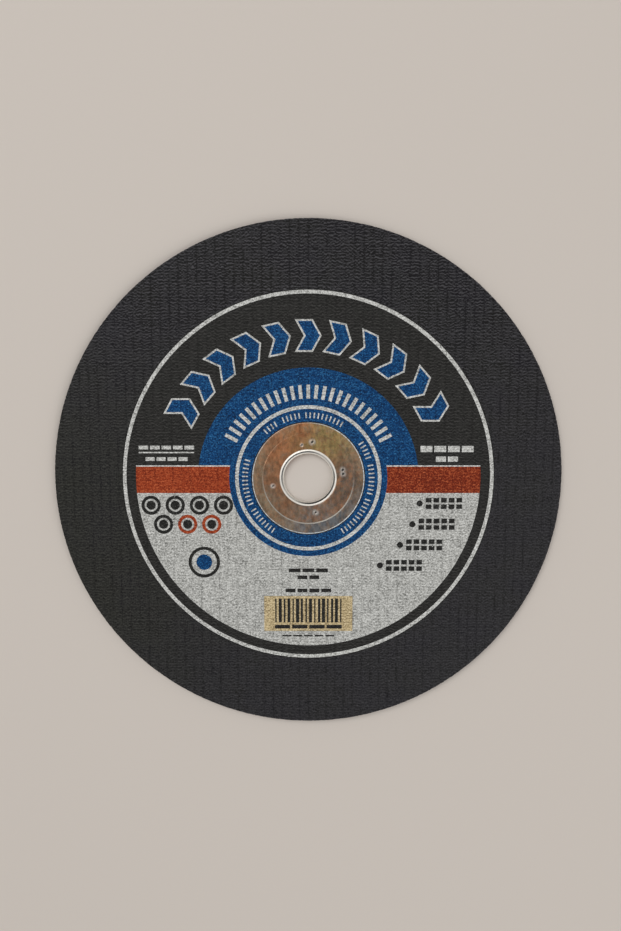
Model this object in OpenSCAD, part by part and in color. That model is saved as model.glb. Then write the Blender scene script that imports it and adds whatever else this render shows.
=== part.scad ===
// Flat abrasive cut-off wheel with a woven face, a printed label and a pressed steel centre ring.
// It lies label side up: +Z is the bore axis, and z = 0 is the back face.

/* [Wheel] */
// Outside diameter of the wheel
wheel_d = 230; // [200:1:300]
// Thickness of the abrasive body
wheel_t = 3; // [2.6:0.1:6]
// Edge break at the rim
rim_break = 0.3; // [0.1:0.05:0.6]

/* [Woven face] */
// Distance between neighbouring warp yarns
warp_pitch = 4.1; // [3:0.1:8]
// Width of the valley between two yarns
valley_w = 1; // [0.4:0.1:1.4]
// Depth of that valley
valley_depth = 0.2; // [0.05:0.01:0.25]
// Diameter of the plain clamping zone on the back
clamp_zone_d = 60; // [50:1:90]

/* [Centre ring] */
// Diameter of the arbor bore
bore_d = 22.23; // [20:0.01:25.4]
// Diameter of the flange
ring_d = 51; // [46:0.5:60]
// Sheet thickness
sheet_t = 0.5; // [0.4:0.05:0.7]
// Height of the flange's rim above the wheel's face
ring_proud = 0.1; // [0:0.05:0.3]
// Diameter of the step between the rim and the web
step_d = 41.6; // [38:0.1:44]
// Depth of the web below the rim
step_h = 0.25; // [0.1:0.05:0.4]
// Bend radius of the rolled lip
lip_r = 1.2; // [0.9:0.05:1.3]
// Height of the lip above the web
lip_rise = 0.2; // [0.1:0.05:0.3]
// Radius on the flange's outer edge
edge_r = 0.2; // [0.1:0.05:0.3]
// Distance from the back face to the end of the collar
collar_back = 0.2; // [0.1:0.05:0.6]
// Circle on which the staking marks lie
stake_pcd = 32.6; // [31:0.1:35]
// Diameter of a staking mark at the surface
stake_d = 1.4; // [1:0.1:1.6]
// Depth of a staking mark
stake_depth = 0.25; // [0.1:0.05:0.35]
// Clearance round the collar and the flange
ring_gap = 0.1; // [0.05:0.05:0.3]

/* [Label] */
// Diameter of the label
label_d = 168.8; // [160:0.2:190]
// Paper thickness
label_t = 0.2; // [0.1:0.05:0.3]
// Clearance between the paper and its seat
label_gap = 0.1; // [0.05:0.05:0.3]

/* [Fields of print] */
// Thickness of one layer of ink
ink_t = 0.05; // [0.03:0.01:0.08]
// Bare paper left round the cut edges
paper_margin = 0.3; // [0.1:0.1:1]
// Width of the white border line
border_w = 1.6; // [0.8:0.1:3]
// Black annulus between the border line and the fields
field_gap = 4.3; // [2:0.1:8]
// Height of the band across the middle
band_h = 12.1; // [8:0.1:16]
// How far the middle of the band lies below the axis
band_drop = 0.6; // [0:0.1:2]
// White line along the upper edge of the band
band_line_w = 0.6; // [0.4:0.1:1.2]
// Width of the hub field round the centre ring
hub_w = 10.4; // [9:0.1:14]
// Width of the white line in the hub field
hub_line_w = 1.6; // [0.8:0.1:2.4]
// Distance from the edge of the hub field to that line
hub_line_inset = 2.7; // [2:0.1:4]
// Width of the arch above the hub field
arch_w = 14.1; // [10:0.1:18]

/* [Marks in the upper half] */
// Number of chevrons
chevron_count = 11; // [4:1:11]
// Angle from one chevron to the next
chevron_step = 12.2; // [11.6:0.1:13]
// Radial height of a chevron
chevron_h = 14.4; // [8:0.1:16]
// Length of a chevron along its row
chevron_w = 8; // [5:0.1:9]
// How far its point leads
chevron_point = 4; // [2:0.1:5]
// White outline round a chevron
outline_w = 0.8; // [0.4:0.1:1.2]
// Angle that the long ticks cover
tick_span = 124; // [60:1:140]
// Number of spaces between long ticks
tick_count = 24; // [8:1:36]
// Radial length of a long tick
tick_h = 6.2; // [3:0.1:9]
// Width of a long tick
tick_w = 1.6; // [0.8:0.1:2]
// Angle from one fine tick to the next
fine_step = 3.7; // [3:0.1:3.9]
// Radial length of a fine tick
fine_h = 2.6; // [1.5:0.1:3.5]
// Width of a fine tick
fine_w = 0.6; // [0.4:0.1:1]
// Width of the block of lines at each end of the band
side_block_w = 25; // [24:0.5:28]
// How far the right-hand block stands in from the left-hand one's distance
side_in = 1.4; // [0:0.1:3]
// Height of a line of small print
line_h = 1.7; // [1:0.1:2.2]
// Space between two words of small print
word_gap = 0.9; // [0.5:0.1:1.5]

/* [Marks in the lower half] */
// Outside diameter of a spot
spot_d = 8.8; // [6:0.1:9.6]
// Distance from a spot to the edge of the silver field
spot_gap = 1.2; // [0.6:0.1:2]
// Distance from one spot to the next
spot_pitch = 11; // [10:0.1:11.2]
// Distance from one row of spots to the next
spot_row = 8.8; // [8.8:0.1:12]
// Width of a spot's ring
spot_ring_w = 1.4; // [0.6:0.1:1.6]
// Diameter of a spot's core
spot_core_d = 4.2; // [2:0.1:4.4]
// Outside diameter of the large spot
big_spot_d = 14.4; // [10:0.1:16]
// Diameter of its blue core
big_core_d = 7.2; // [3:0.1:7.4]
// Distance from the axis to the large spot
big_spot_out = 61.5; // [58:0.5:66]
// Diameter of a bullet
bullet_d = 2.8; // [1.4:0.1:3]
// Distance from one bullet to the next
bullet_step = 9.6; // [8:0.1:10]
// Distance from the arch's circle to the row of bullets
bullet_out = 2; // [1:0.1:4]
// Length of the lines beside a bullet
bullet_line_w = 16.5; // [8:0.5:17]
// Height of each of those lines
bullet_line_h = 2.1; // [1:0.1:2.4]
// Distance from one of those lines to the next
line_step = 3; // [2.6:0.1:3.6]
// Width of the cream patch
patch_w = 40.8; // [30:0.1:46]
// Height of the cream patch
patch_h = 16.6; // [12:0.1:20]
// Distance from the patch to the edge of the silver field
patch_gap = 4.2; // [2:0.1:6]
// Margin between the patch's edge and its bars
patch_margin = 1.2; // [0.6:0.1:2]
// Number of bars on the patch
bar_count = 16; // [6:1:18]
// Distance from one bar to the next
bar_pitch = 2; // [1.6:0.1:2.2]
// Mean width of a bar
bar_w = 1; // [0.4:0.1:1.1]

/* [Hidden] */
$fn = 96;

// How far a cutting shape runs past what it cuts
over = 1;

wheel_r = wheel_d / 2;
bore_r = bore_d / 2;
ring_r = ring_d / 2;
step_r = step_d / 2;
label_r = label_d / 2;
clamp_zone_r = clamp_zone_d / 2;

// Heights of the ring's sheet: rim, web, centre of the lip's bend and end of the collar
rim_top = wheel_t + ring_proud;
rim_under = rim_top - sheet_t;
web_top = rim_top - step_h;
web_under = web_top - sheet_t;
lip_centre_r = bore_r + lip_r;
lip_z = web_top + lip_rise - lip_r;
bend_in_r = lip_r - sheet_t;
// Staking marks, seen from the label side: direction and distance outwards from their circle
stakes = [[7.5, -0.4], [14, -0.2], [84, 0.4], [101, -0.8], [192, 0.1], [282, -0.3]];
// Radius of the ball that leaves a mark of the given diameter and depth
stake_ball_r = (stake_d * stake_d / 4 + stake_depth * stake_depth) / (2 * stake_depth);

// Seats in the abrasive body
hole_r = bore_r + sheet_t + ring_gap;
seat_r = ring_r + ring_gap;
label_seat_r = label_r + label_gap;
label_seat_z = wheel_t - label_t;

// Edges of the printed fields
border_r = label_r - paper_margin;
field_r = border_r - border_w - field_gap;
hub_hole_r = seat_r + paper_margin;
hub_r = ring_r + hub_w;
hub_line_r = hub_r - hub_line_inset;
arch_r = hub_r + arch_w;
band_top = band_h / 2 - band_drop;
band_bottom = band_top - band_h;
band_line_top = band_top + band_line_w;

// Rows of the upper marks
chevron_r = (arch_r + field_r) / 2;
chevron_slant = sqrt(1 + pow(2 * chevron_point / chevron_h, 2));
tick_r = hub_r + paper_margin + tick_h / 2;
fine_r = (hub_hole_r + hub_line_r - hub_line_w) / 2;
// Groups of fine ticks round the hub: direction of the first tick and number, running clockwise
fine_groups = [[236, 8], [204, 12], [132, 4], [113, 5], [92, 10], [34, 5], [12, 8], [-20, 11]];
// Lines of small print at the ends of the band: side, length taken off the block's width, height above the
// band, line height and number of words
side_lines = [[-1, 0, 7.2, line_h, 5], [-1, 0, 5.5, 0.6, 1], [-1, 6, 2, line_h, 4],
              [1, 1, 6, 2.8, 4], [1, 15, 1.6, 2.4, 2]];
// Height of the top of those lines above the band
side_top = 9.4;
side_x = half_chord(field_r, band_line_top + side_top) - side_block_w / 2;

// Rows of the lower marks: number of spots in each row and its shift in pitches
spot_rows = [[4, 0], [3, 0.5]];
spot_r = spot_d / 2;
spot_y = band_bottom - spot_gap - spot_r;
// Direction of the large spot from the axis
big_spot_angle = 219;
bullet_rows = 4;
bullet_words = 5;
code_words = 4;
bullet_ring_r = arch_r + bullet_out;
bullet_y = band_bottom - bullet_step / 2;
patch_y = -half_chord(field_r, patch_w / 2) + patch_gap;
patch_top = patch_y + patch_h;
bar_y = patch_y + 2 * patch_margin + line_h;
bar_h = patch_top - patch_margin - bar_y;
bar_row_w = (bar_count - 1) * bar_pitch + bar_w;
// Width of each bar against the mean
bar_shares = [0.6, 1.4, 0.8, 1.2, 0.6, 1.5, 1, 0.7, 1.4, 0.6, 1.1, 1.5, 0.7, 1, 1.4, 0.6, 1.2, 0.8];
// Fine line below the patch: distance, length, height and number of words
foot_line = [2.6, 24, 0.7, 5];
// Short lines above the patch: height above the patch, length and number of words
note_lines = [[1.8, 21, 4], [8, 10, 2], [11.3, 18, 3]];

// Half the width of a circle of radius r at height y
function half_chord(r, y) = sqrt(r * r - y * y);
// Underside of an ink layer: 0 lies on the paper, 1 on a field, 2 on a mark
function ink_z(layer) = wheel_t + layer * ink_t;

// One valley of the weave along Y, from y0 to y1, cut down from the plane z = 0
module valley(y0, y1) {
    translate([0, y1, 0])
        rotate([90, 0, 0])
            linear_extrude(y1 - y0)
                polygon([[-valley_w / 2, 0], [0, -valley_depth], [valley_w / 2, 0],
                         [valley_w / 2, over], [-valley_w / 2, over]]);
}

// The valleys of one face, kept outside a circle of radius r_in
module weave(r_in) {
    count = floor((wheel_r - rim_break - valley_w) / warp_pitch);
    for (i = [-count : count]) {
        x = i * warp_pitch;
        y1 = half_chord(wheel_r, x) + over;
        if (abs(x) >= r_in)
            translate([x, 0, 0]) valley(-y1, y1);
        else
            for (side = [0, 180])
                rotate([0, 0, side]) translate([x, 0, 0]) valley(half_chord(r_in, x), y1);
    }
}

module disc_profile() {
    polygon([
        [hole_r, 0], [wheel_r - rim_break, 0], [wheel_r, rim_break], [wheel_r, wheel_t - rim_break],
        [wheel_r - rim_break, wheel_t], [label_seat_r, wheel_t], [label_seat_r, label_seat_z],
        [seat_r, label_seat_z], [seat_r, rim_under], [step_r, rim_under], [step_r - step_h, web_under],
        [hole_r + bend_in_r, web_under], [hole_r, web_under - bend_in_r]
    ]);
}

module abrasive_disc() {
    color([0.19, 0.19, 0.19])
        difference() {
            rotate_extrude() disc_profile();
            translate([0, 0, wheel_t]) weave(label_seat_r + paper_margin);
            rotate([180, 0, 0]) weave(clamp_zone_r);
        }
}

// Rim, step and web of the flange, with a round outer edge
module flange_profile() {
    difference() {
        polygon([
            [lip_centre_r, web_under], [step_r - step_h, web_under], [step_r, rim_under], [ring_r, rim_under],
            [ring_r, rim_top], [step_r, rim_top], [step_r - step_h, web_top], [lip_centre_r, web_top]
        ]);
        translate([ring_r - edge_r, rim_top - edge_r]) square(edge_r + over);
    }
    translate([ring_r - edge_r, rim_top - edge_r]) circle(edge_r);
}

// Rolled lip, from the web over the bend to the collar
module lip_profile() {
    translate([lip_centre_r, lip_z])
        intersection() {
            circle(lip_r);
            union() {
                translate([-lip_r, 0]) square(lip_r);
                translate([0, web_under - lip_z]) square(lip_r);
            }
        }
}

module collar_profile() {
    translate([bore_r, collar_back]) square([sheet_t, lip_z - collar_back]);
}

module centre_ring() {
    color([0.49, 0.39, 0.28])
        difference() {
            rotate_extrude()
                difference() {
                    union() {
                        flange_profile();
                        lip_profile();
                        collar_profile();
                    }
                    translate([lip_centre_r, lip_z]) circle(bend_in_r);
                }
            for (s = stakes)
                rotate([0, 0, s[0]])
                    translate([stake_pcd / 2 + s[1], 0, web_top - stake_depth + stake_ball_r])
                        sphere(stake_ball_r);
        }
}

module ring_2d(r_out, r_in) {
    difference() {
        circle(r_out);
        circle(r_in);
    }
}

module label() {
    color([0.18, 0.18, 0.18])
        translate([0, 0, label_seat_z])
            linear_extrude(label_t)
                ring_2d(label_r, seat_r);
}

// One layer of ink in the shape of its children
module ink(layer) {
    translate([0, 0, ink_z(layer)])
        linear_extrude(ink_t)
            children();
}

// A bar of width w, centred on x, with its lower edge at y
module bar_2d(x, y, w, h) {
    translate([x - w / 2, y]) square([w, h]);
}

// A line of small print: a bar broken into a number of plain words
module line_2d(x, y, w, h, words) {
    word_w = (w - (words - 1) * word_gap) / words;
    for (i = [0 : words - 1])
        bar_2d(x + (i - (words - 1) / 2) * (word_w + word_gap), y, word_w, h);
}

// Chevron that points along +X, drawn in by inset on every side
module chevron_2d(inset) {
    s = chevron_h / 2 - inset;
    half = chevron_w / 2 - inset * chevron_slant;
    tip = chevron_point / 2;
    tail = tip - chevron_point * s * 2 / chevron_h;
    polygon([[tail - half, s], [tail + half, s], [tip + half, 0], [tail + half, -s],
             [tail - half, -s], [tip - half, 0]]);
}

module chevron_row(inset) {
    for (i = [0 : chevron_count - 1])
        rotate((chevron_count - 1) / 2 * chevron_step - i * chevron_step)
            translate([0, chevron_r])
                chevron_2d(inset);
}

// Radial ticks on a circle, running clockwise from the direction start
module tick_row(r, start, step, count, w, h) {
    for (i = [0 : count - 1])
        rotate(start - 90 - i * step)
            bar_2d(0, r - h / 2, w, h);
}

module silver_print() {
    color([0.66, 0.66, 0.64])
        ink(0)
            difference() {
                intersection() {
                    circle(field_r);
                    translate([-wheel_r, band_bottom - wheel_d]) square(wheel_d);
                }
                circle(hub_r);
            }
}

module spot_ring_2d(x, y, d) {
    translate([x, y]) ring_2d(d / 2, d / 2 - spot_ring_w);
}

// Place of spot i in a row: the first row starts at the edge of the silver field
function spot_x(row, i) =
    spot_r + spot_gap - half_chord(field_r, spot_y) + (i + spot_rows[row][1]) * spot_pitch;
// Height of a row of spots
function spot_row_y(row) = spot_y - row * spot_row;

module red_print() {
    color([0.53, 0.22, 0.13]) {
        ink(0)
            difference() {
                intersection() {
                    circle(field_r);
                    translate([-wheel_r, band_bottom]) square([wheel_d, band_h]);
                }
                circle(hub_r);
            }
        ink(1)
            for (i = [1, 2])
                spot_ring_2d(spot_x(1, i), spot_row_y(1), spot_d);
    }
}

module blue_print() {
    color([0.09, 0.25, 0.41]) {
        ink(0)
            ring_2d(hub_r, hub_hole_r);
        ink(0)
            intersection() {
                ring_2d(arch_r, hub_r);
                translate([-wheel_r, band_line_top]) square(wheel_d);
            }
        ink(1) chevron_row(outline_w);
        ink(1) rotate(big_spot_angle) translate([big_spot_out, 0]) circle(d = big_core_d);
    }
}

module white_print() {
    color([0.8, 0.8, 0.78]) {
        ink(0) ring_2d(border_r, border_r - border_w);
        ink(0)
            difference() {
                bar_2d(0, band_top, 2 * half_chord(field_r, band_line_top), band_line_w);
                circle(hub_r);
            }
        ink(0) chevron_row(0);
        ink(0)
            for (l = side_lines)
                line_2d(l[0] < 0 ? -side_x : side_x - side_in, band_line_top + l[2], side_block_w - l[1],
                        l[3], l[4]);
        ink(1) ring_2d(hub_line_r, hub_line_r - hub_line_w);
        ink(1) tick_row(tick_r, 90 + tick_span / 2, tick_span / tick_count, tick_count + 1, tick_w, tick_h);
        ink(1)
            for (g = fine_groups)
                tick_row(fine_r, g[0], fine_step, g[1], fine_w, fine_h);
    }
}

module cream_print() {
    color([0.69, 0.62, 0.49])
        ink(1) bar_2d(0, patch_y, patch_w, patch_h);
}

module black_print() {
    color([0.17, 0.17, 0.17]) {
        ink(1) {
            for (row = [0, 1])
                for (i = [0 : spot_rows[row][0] - 1]) {
                    if (row == 0 || i == 0)
                        spot_ring_2d(spot_x(row, i), spot_row_y(row), spot_d);
                    translate([spot_x(row, i), spot_row_y(row)]) circle(d = spot_core_d);
                }
            rotate(big_spot_angle) spot_ring_2d(big_spot_out, 0, big_spot_d);
            for (i = [0 : bullet_rows - 1]) {
                y = bullet_y - i * bullet_step;
                x = half_chord(bullet_ring_r, y);
                line_x = x + bullet_d + bullet_line_w / 2;
                translate([x, y]) circle(d = bullet_d);
                for (up = [-1, 1])
                    line_2d(line_x, y + (up * line_step - bullet_line_h) / 2, bullet_line_w, bullet_line_h,
                            bullet_words);
            }
            for (l = note_lines)
                line_2d(0, patch_top + l[0], l[1], line_h, l[2]);
            line_2d(0, patch_y - foot_line[0], foot_line[1], foot_line[2], foot_line[3]);
        }
        ink(2) {
            for (i = [0 : bar_count - 1])
                bar_2d((i - (bar_count - 1) / 2) * bar_pitch, bar_y, bar_w * bar_shares[i], bar_h);
            line_2d(0, patch_y + patch_margin, bar_row_w, line_h, code_words);
        }
    }
}

abrasive_disc();
centre_ring();
label();
silver_print();
red_print();
blue_print();
white_print();
cream_print();
black_print();
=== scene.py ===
# Cut-off wheel, lying label side up: woven abrasive body, printed paper label and pressed steel centre ring.
import math

import bpy
import numpy as np
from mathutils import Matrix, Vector
from mathutils.bvhtree import BVHTree
from mathutils.geometry import delaunay_2d_cdt
from mathutils.kdtree import KDTree


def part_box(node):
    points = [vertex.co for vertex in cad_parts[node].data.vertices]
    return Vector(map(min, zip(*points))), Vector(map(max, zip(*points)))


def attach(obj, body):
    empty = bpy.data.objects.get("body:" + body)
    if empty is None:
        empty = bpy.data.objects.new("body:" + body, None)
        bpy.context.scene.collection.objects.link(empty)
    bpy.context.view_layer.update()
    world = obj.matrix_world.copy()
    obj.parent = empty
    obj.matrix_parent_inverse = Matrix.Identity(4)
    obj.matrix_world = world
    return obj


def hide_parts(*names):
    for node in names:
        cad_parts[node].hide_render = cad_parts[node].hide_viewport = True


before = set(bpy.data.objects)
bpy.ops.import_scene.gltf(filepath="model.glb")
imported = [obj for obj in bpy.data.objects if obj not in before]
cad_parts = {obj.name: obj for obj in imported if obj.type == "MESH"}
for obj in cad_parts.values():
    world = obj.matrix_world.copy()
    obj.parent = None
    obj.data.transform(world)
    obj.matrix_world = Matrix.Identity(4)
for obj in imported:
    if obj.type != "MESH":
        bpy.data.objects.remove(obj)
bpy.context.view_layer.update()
mm = 0.001  # lengths below are in millimetres

# Camera, as the photograph stands to the wheel's face
shot = dict(
    imageHeight=931,  # pixels on the long side
    focal=750.4,  # focal length in those pixels
    sensor=36.0,
    distance=340.0,
    tilt=6.24,  # degrees off square, towards +Y
    target=(1.0, 5.96, 3.0),
)

# Floor and lamps
studio = dict(
    floorHalf=6.0,  # metres
    floorDrop=0.02,
    floorColor=(0.555, 0.503, 0.452, 1),
    keyPlace=(-0.7, 0.9, 1.6),  # metres
    keySize=1.4,
    keyPower=21.0,
    fillPlace=(1.1, -0.9, 1.4),
    fillSize=1.6,
    fillPower=15.0,
    skyLow=(0.66, 0.64, 0.62, 1),  # at the horizon
    skyHigh=(0.26, 0.265, 0.28, 1),  # straight above
    skyStrength=1.0,
)


def placeCamera():
    lean = math.radians(shot["tilt"])
    camera = bpy.data.objects.new("camera", bpy.data.cameras.new("camera"))
    bpy.context.scene.collection.objects.link(camera)
    camera.data.sensor_width = shot["sensor"]
    camera.data.lens = shot["focal"] / shot["imageHeight"] * shot["sensor"]
    camera.data.clip_start = 0.01
    back = Vector((0, math.sin(lean), math.cos(lean)))
    camera.location = (Vector(shot["target"]) + back * shot["distance"]) * mm
    camera.rotation_euler = (-lean, 0, 0)
    bpy.context.scene.camera = camera


def addLamp(name, place, size, power):
    lamp = bpy.data.lights.new(name, "AREA")
    lamp.size = size
    lamp.energy = power
    holder = bpy.data.objects.new(name, lamp)
    holder.location = place
    holder.rotation_euler = (-Vector(place)).to_track_quat("-Z", "Y").to_euler()
    bpy.context.scene.collection.objects.link(holder)


def addNode(tree, kind, **settings):
    node = tree.nodes.new(kind)
    for name, value in settings.items():
        setattr(node, name, value)
    return node


def wire(tree, source, target):
    tree.links.new(source, target)


def buildStudio():
    placeCamera()
    addLamp("keyLamp", studio["keyPlace"], studio["keySize"], studio["keyPower"])
    addLamp("fillLamp", studio["fillPlace"], studio["fillSize"], studio["fillPower"])
    half, drop = studio["floorHalf"], -studio["floorDrop"] * mm
    mesh = bpy.data.meshes.new("floor")
    corners = [(-half, -half, drop), (half, -half, drop), (half, half, drop), (-half, half, drop)]
    mesh.from_pydata(corners, [], [(0, 1, 2, 3)])
    floor = bpy.data.objects.new("floor", mesh)
    bpy.context.scene.collection.objects.link(floor)
    paper = bpy.data.materials.new("floorPaper")
    paper.use_nodes = True
    shader = paper.node_tree.nodes["Principled BSDF"]
    shader.inputs["Base Color"].default_value = studio["floorColor"]
    shader.inputs["Roughness"].default_value = 0.85
    mesh.materials.append(paper)
    # The sky is paler at the horizon than straight above, so edges and slopes of metal catch light
    world = bpy.data.worlds.new("studioSky")
    bpy.context.scene.world = world
    world.use_nodes = True
    tree = world.node_tree
    sky = tree.nodes["Background"]
    sky.inputs["Strength"].default_value = studio["skyStrength"]
    where = addNode(tree, "ShaderNodeTexCoord")
    split = addNode(tree, "ShaderNodeSeparateXYZ")
    ramp = addNode(tree, "ShaderNodeValToRGB")
    ramp.color_ramp.elements[0].color = studio["skyLow"]
    ramp.color_ramp.elements[1].color = studio["skyHigh"]
    wire(tree, where.outputs["Generated"], split.inputs[0])
    wire(tree, split.outputs["Z"], ramp.inputs["Fac"])
    wire(tree, ramp.outputs["Color"], sky.inputs["Color"])
    bpy.context.scene.view_settings.view_transform = "Standard"


buildStudio()
print("stage 1: camera, floor and lamps")

# Fabric that shows as relief in both faces: valleys between the warp yarns, uneven weft ribs across them
weave = dict(
    warpPitch=4.1,
    knots=6,  # places in a warp pitch where a rib's height and line may change
    # Mesh columns, as shares of a warp pitch: the valley's bottom and the knots
    meshColumns=(0.0, 1 / 12, 3 / 12, 5 / 12, 7 / 12, 9 / 12, 11 / 12),
    valleyWidth=1.0,
    valleyStep=5.0,  # length over which a valley's depth changes
    deepest=0.55,  # deepest valley, as a share of a rib's height
    weftPitch=1.38,
    rowsPerRib=3,
    stray=0.45,  # how far a rib strays sideways, as a share of the weft pitch
    strayStep=1.6,  # length over which it does so
    ribTable=(256, 256),  # random numbers for the ribs and for the valleys, before they repeat
    valleyTable=(64, 64),
    seed=11,
)
weaveRandom = np.random.default_rng(weave["seed"])
ribHeights = weaveRandom.random(weave["ribTable"])
ribStrays = weaveRandom.uniform(-1, 1, weave["ribTable"]) * weave["stray"] * weave["weftPitch"]
valleyDepths = weaveRandom.uniform(0, weave["deepest"], weave["valleyTable"])


# Reads a table of random numbers between its places
def readTable(table, across, along):
    rows, columns = table.shape
    row, column = np.floor(across).astype(int), np.floor(along).astype(int)
    share = across - row
    near, far = (table[row % rows, c % columns] * (1 - share) + table[(row + 1) % rows, c % columns] * share
                 for c in (column, column + 1))
    return near + (far - near) * (along - column)


def knotAt(x):
    return x / weave["warpPitch"] * weave["knots"] - 0.5


def strayed(x, y):
    return readTable(ribStrays, knotAt(x), y / weave["strayStep"])


# Depth of the valley at a point, from 0 to 1
def grooveDepth(x, y):
    column = np.round(x / weave["warpPitch"])
    edge = np.abs(x - column * weave["warpPitch"])
    groove = np.clip(1 - edge / (weave["valleyWidth"] / 2), 0, 1)
    return groove * readTable(valleyDepths, column, y / weave["valleyStep"])


# Height of the fabric at a point: 1 on the highest rib, 0 at the deepest place
def fabricHeight(x, y):
    row = (y - strayed(x, y)) / weave["weftPitch"]
    crest = np.clip((np.cos(2 * np.pi * row) + 0.5) / 1.5, 0, 1)  # a rib takes two thirds of the pitch
    rib = 0.5 + readTable(ribHeights, knotAt(x), row) * (crest - 0.5)
    return rib * (1 - grooveDepth(x, y))


# Mesh points that follow the ribs, within a radius
def fabricPoints(radius, rowsPerRib):
    pitch, step = weave["warpPitch"], weave["weftPitch"] / rowsPerRib
    columns = np.arange(-math.ceil(radius / pitch), math.ceil(radius / pitch))
    xs = ((columns[:, None] + np.array(weave["meshColumns"])) * pitch).ravel()
    rows = np.arange(-math.ceil(radius / step), math.ceil(radius / step) + 1) * step
    x, row = (grid.ravel() for grid in np.meshgrid(xs, rows))
    y = row
    for _ in range(10):  # each round brings the points nearer to the strayed rib
        y = row + strayed(x, y)
    inside = np.hypot(x, y) < radius
    return np.column_stack([x, y])[inside]


# Triangles inside closed loops, with loops inside others as holes
def fillLoops(loops, inner):
    points = np.vstack(loops + [inner]) if len(inner) else np.vstack(loops)
    outlines, start = [], 0
    for loop in loops:
        outline = list(range(start, start + len(loop)))
        ahead = np.roll(loop, -1, axis=0)
        if np.sum(loop[:, 0] * ahead[:, 1] - ahead[:, 0] * loop[:, 1]) < 0:
            outline.reverse()
        outlines.append(outline)
        start += len(loop)
    made = delaunay_2d_cdt([Vector(p) for p in points], [], outlines, 1, 1e-6)
    if len(made[0]) != len(points):
        print("  loops cross:", len(made[0]) - len(points), "points differ")
    triangles = [t for t, owners in zip(made[2], made[5]) if len(owners) % 2]
    return points, np.array(triangles)


def circleLoop(radius, count, hole=False):
    turn = np.arange(count) * 2 * np.pi / count
    if hole:
        turn = -turn
    return np.column_stack([radius * np.cos(turn), radius * np.sin(turn)])


# Drops mesh points that lie too near an outline, whose sides are halved until they are short
def clearOf(points, loops, gap):
    outline = []
    for loop in loops:
        while np.linalg.norm(np.roll(loop, -1, axis=0) - loop, axis=1).max() > gap:
            middle = (loop + np.roll(loop, -1, axis=0)) / 2
            loop = np.stack([loop, middle], axis=1).reshape(-1, 2)
        outline.append(loop)
    outline = np.vstack(outline)
    tree = KDTree(len(outline))
    for i, (x, y) in enumerate(outline):
        tree.insert((x, y, 0), i)
    tree.balance()
    far = [tree.find((x, y, 0))[2] > gap for x, y in points]
    return points[np.array(far, dtype=bool)] if len(points) else points


def smoothStep(value, low, high):
    share = np.clip((value - low) / (high - low), 0, 1)
    return share * share * (3 - 2 * share)


# A smooth mesh with a map for textures and values at its points, in the place of a node
def makePiece(name, node, slot, verts, faces, corners, values, sharp):
    mesh = bpy.data.meshes.new(name)
    mesh.from_pydata((verts * mm).tolist(), [], faces)
    mesh.polygons.foreach_set("use_smooth", np.ones(len(faces), dtype=bool))
    mesh.set_sharp_from_angle(angle=math.radians(sharp))
    mesh.uv_layers.new(name="OFBake").data.foreach_set("uv", corners.ravel())
    for title, numbers in values.items():
        mesh.attributes.new(title, "FLOAT", "POINT").data.foreach_set("value", numbers.astype(np.float32))
    piece = bpy.data.objects.new(name, mesh)
    bpy.context.scene.collection.objects.link(piece)
    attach(piece, "root")
    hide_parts(node)
    return piece


# A woven piece from groups of faces, each with its own flat map, without the points that no face uses
def makeWoven(name, node, slot, verts, weaveHigh, groups, sharp):
    used = np.unique(np.concatenate([groupFaces.ravel() for groupFaces, _ in groups]))
    place = np.zeros(len(verts), dtype=int)
    place[used] = np.arange(len(used))
    faces, corners = [], []
    for groupFaces, flat in groups:
        faces += place[groupFaces].tolist()
        corners.append(flat[groupFaces].reshape(-1, 2))
    values = {"weave": weaveHigh[used], "groove": grooveDepth(verts[used, 0], verts[used, 1])}
    return makePiece(name, node, slot, verts[used], faces, np.concatenate(corners), values, sharp)


# Abrasive body: the main body with the front face, and the ply that makes the back face
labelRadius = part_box("label")[1].x / mm
body = dict(
    radius=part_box("abrasive_disc")[1].x / mm,
    top=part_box("abrasive_disc")[1].z / mm,
    rimBreak=0.3,  # broken edges of the rim; the back ply is as thick
    labelSeat=(labelRadius + 0.1, 2.8),  # seats under the label and the ring: radius and height
    flangeSeat=(25.6, 2.6),
    stepSeat=(20.8, 2.6),
    webSeat=(20.55, 2.35),
    bore=11.715,
    boreBreak=0.7,
    reliefStart=labelRadius + 0.4,
    reliefFade=0.6,  # length over which the relief sets in
    clampRadius=30.0,  # plain zone on the back
    clampEdge=0.4,  # ring of even tone inside its edge
    depth=0.22,  # of the fabric's relief
    plain=0.5,  # fabric height that stands for a face without weave
    backShift=20,  # warp pitches between the fabric of the front and that of the back
    gritDepth=0.13,  # how far the rim's grains stand apart
    grainRows=5,
    rimSteps=960,
    boreSteps=480,
    backRows=2,
    gap=0.2,  # least distance of a mesh point from an outline
    sharp=55.0,
    seed=5,
)
bodyRandom = np.random.default_rng(body["seed"])


def ringBand(first, second, count):
    ahead = (np.arange(count) + 1) % count
    here = np.arange(count)
    return np.column_stack([first + here, second + here, second + ahead, first + ahead])


# A plain ring of points on the side of the bore, with its fabric heights
def boreRing(radius, height):
    steps = body["boreSteps"]
    points = np.column_stack([circleLoop(radius, steps, hole=True), np.full(steps, height)])
    return points, np.full(steps, body["plain"])


# Rings from the label's seat inwards to the back ply
def seatRings():
    flangeEdge, labelFloor, webFloor = body["flangeSeat"][0], body["labelSeat"][1], body["webSeat"][1]
    bore, boreBreak = body["bore"], body["boreBreak"]
    return [boreRing(*place) for place in [
        body["labelSeat"], (flangeEdge, labelFloor), body["flangeSeat"], body["stepSeat"], body["webSeat"],
        (bore + boreBreak, webFloor), (bore, webFloor - boreBreak), (bore, body["rimBreak"])]]


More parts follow.
